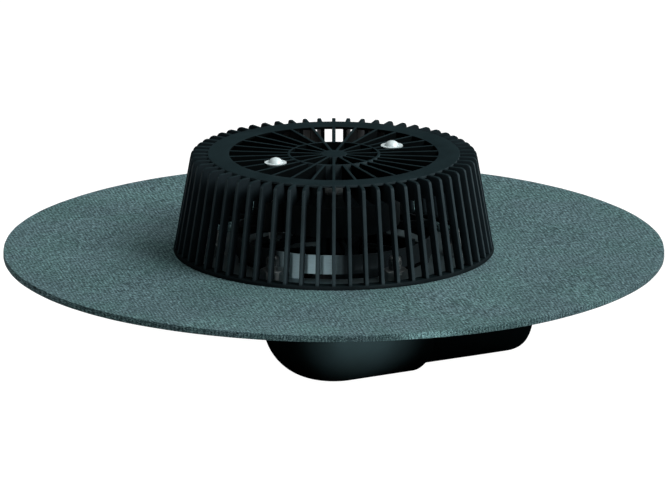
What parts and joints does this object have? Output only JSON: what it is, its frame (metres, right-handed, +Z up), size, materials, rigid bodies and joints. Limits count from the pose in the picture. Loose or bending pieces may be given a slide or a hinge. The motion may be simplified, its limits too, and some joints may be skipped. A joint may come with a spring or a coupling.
{
  "type": "flat roof drain",
  "caption": "Side-outlet flat roof drain: moulded sump, round bitumen collar, bolted clamp ring, air baffle and slotted leaf basket.",
  "frame": {"origin": "on the drain axis at the underside of the sump, the middle of the part's box in plan", "axes": "+Z up along the drain axis, +X along the outlet spigot"},
  "size_m": [0.4999, 0.5, 0.1771],
  "materials": {
    "sump_plastic": "moulded black polypropylene, semi-gloss",
    "bitumen_sheet": "mineral grey-green bitumen sheet, matt, fine grain",
    "basket_plastic": "moulded black plastic, satin with fine mould grain",
    "cap_plastic": "moulded black plastic, glossy",
    "flange_steel": "stainless sheet, brushed",
    "baffle_steel": "stainless sheet, bright rolled",
    "fastener_steel": "zinc-plated steel, bright",
    "screw_steel": "polished stainless steel"
  },
  "bodies": {
    "root": {"sump_body": "sump_plastic", "fixed_flange": "flange_steel", "clamp_studs": "fastener_steel", "roof_collar": "bitumen_sheet", "clamp_ring": "flange_steel", "clamp_washers": "fastener_steel", "clamp_nuts": "fastener_steel", "throat_bridge": "cap_plastic", "baffle_ring": "baffle_steel", "baffle_cap": "cap_plastic", "centre_bolt": "fastener_steel", "centre_washer": "fastener_steel", "bridge_washer": "fastener_steel", "centre_nut": "fastener_steel", "leaf_basket": "basket_plastic", "screw_washers": "screw_steel", "basket_screws": "screw_steel", "ear_washers": "fastener_steel", "basket_nuts": "fastener_steel"}
  },
  "joints": []
}
